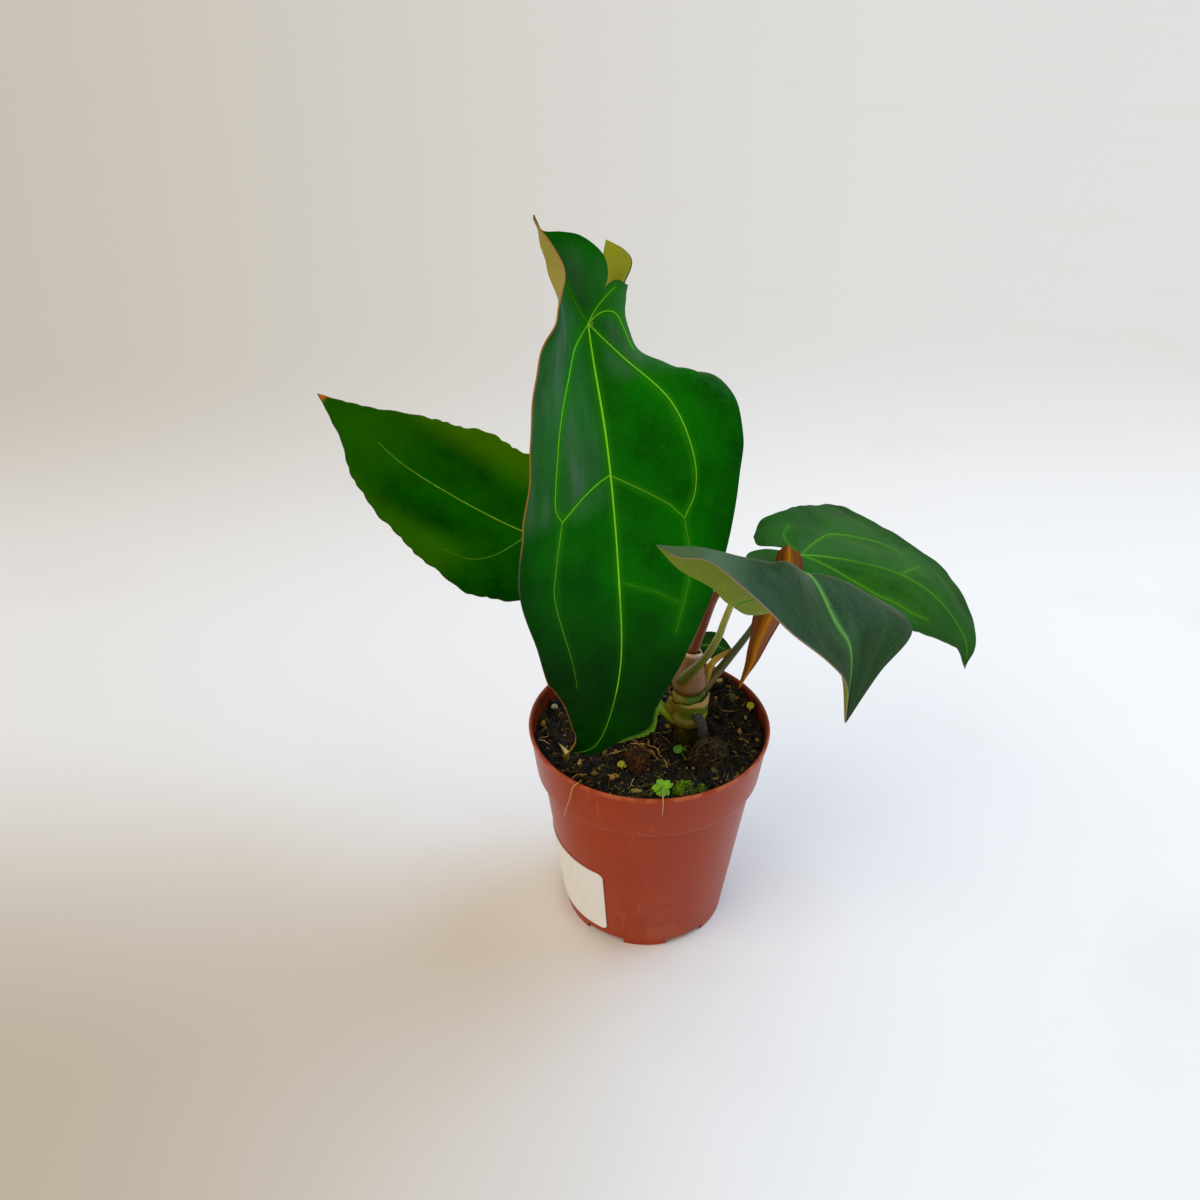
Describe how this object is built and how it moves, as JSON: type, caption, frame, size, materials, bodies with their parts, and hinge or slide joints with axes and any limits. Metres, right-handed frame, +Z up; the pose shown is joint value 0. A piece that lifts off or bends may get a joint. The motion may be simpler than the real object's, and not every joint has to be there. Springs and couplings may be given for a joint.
{
  "type": "potted anthurium",
  "caption": "Velvet-leaved heart-leaved anthurium with light veins on a short stem, standing in soil in a small terracotta-coloured plastic nursery pot.",
  "frame": {"origin": "centre of the flat middle of the pot's underside, where it rests", "axes": "+Z up along the pot's axis, -Y towards the front leaf's upper face, +X to the right of it"},
  "size_m": [0.2447, 0.1446, 0.2731],
  "materials": {
    "pot_plastic": "terracotta-coloured moulded plastic, satin, dusty with dried splashes",
    "label_paper": "white paper sticker, left bare",
    "peat_soil": "near-black damp peat with brown fibres",
    "stem_skin": "olive and pinkish-brown ringed stem skin",
    "brown_sheath": "pinkish-brown papery leaf sheath",
    "pale_sheath": "yellow-green and whitish torn sheath",
    "grey_root": "dull grey aerial root",
    "dark_leaf": "deep green velvet-sheened leaf with light yellow-green veins",
    "bluish_leaf": "bluish grey-green sheened leaf with pale veins",
    "new_leaf": "orange-brown young leaf with magenta edges",
    "bark": "rough brown bark",
    "brown_fibre": "matted brown root fibre",
    "moss": "bright yellow-green moss",
    "dry_husk": "pale dry husk",
    "perlite": "white porous grain",
    "seedling_green": "fresh green seedling leaf",
    "seedling_yellow": "yellowed seedling leaf"
  },
  "bodies": {
    "root": {"pot": "pot_plastic", "label": "label_paper", "soil": "peat_soil", "stem": "stem_skin", "sheath": "brown_sheath", "old_sheath": "pale_sheath", "aerial_root": "grey_root", "leaf_front": "dark_leaf", "leaf_left_back": "dark_leaf", "leaf_right_front": "bluish_leaf", "leaf_right_back": "dark_leaf", "leaf_new": "new_leaf", "leaf_small_back": "bluish_leaf", "bark_chunk": "bark", "fibre_ball": "brown_fibre", "moss_patch": "moss", "husk": "dry_husk", "perlite_grain": "perlite", "twig_long": "bark", "twig_short": "bark", "clover_seedling": "seedling_green", "round_leaf_seedling": "seedling_green", "yellow_seedling": "seedling_yellow", "rim_seedling": "seedling_green"}
  },
  "joints": []
}
